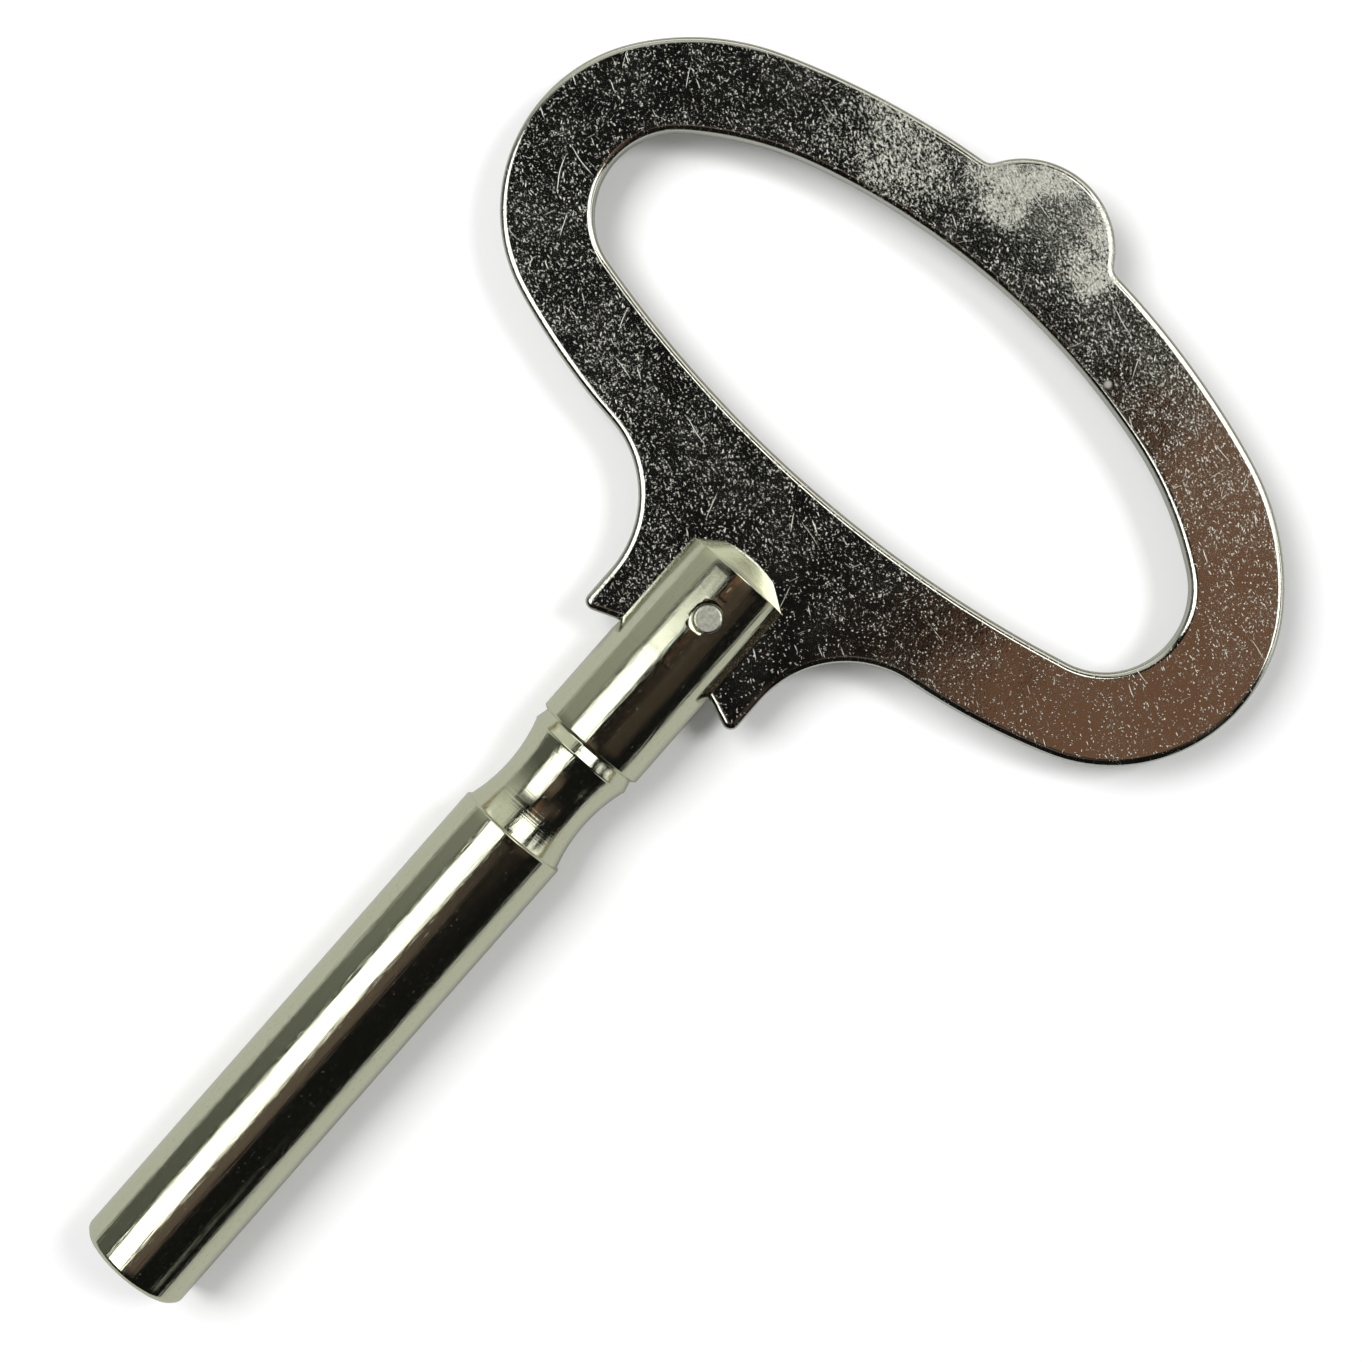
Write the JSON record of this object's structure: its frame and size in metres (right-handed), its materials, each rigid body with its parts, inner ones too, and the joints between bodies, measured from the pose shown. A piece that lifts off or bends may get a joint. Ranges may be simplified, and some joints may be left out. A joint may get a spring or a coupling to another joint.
{
  "type": "radiator bleed key",
  "caption": "Flat oval wing bow pinned in a slot across a turned shank that ends in a square socket, for turning radiator bleed screws.",
  "frame": {"origin": "centre of the bounding box: on the shank's axis, in the middle plane of the bow, at half the key's length", "axes": "+Y along the shank from the socket towards the bow, +X across the bow, +Z normal to the flat of the bow"},
  "size_m": [0.0618, 0.0962, 0.008],
  "materials": {
    "bow_nickel": "bright nickel plate on pressed steel, tumbled, with fine scratches",
    "shank_nickel": "bright nickel plate over fine turning marks",
    "pin_metal": "matt end face, cut and dressed after plating"
  },
  "bodies": {
    "root": {"bow": "bow_nickel", "shank": "shank_nickel", "cross_pin": "pin_metal"}
  },
  "joints": []
}
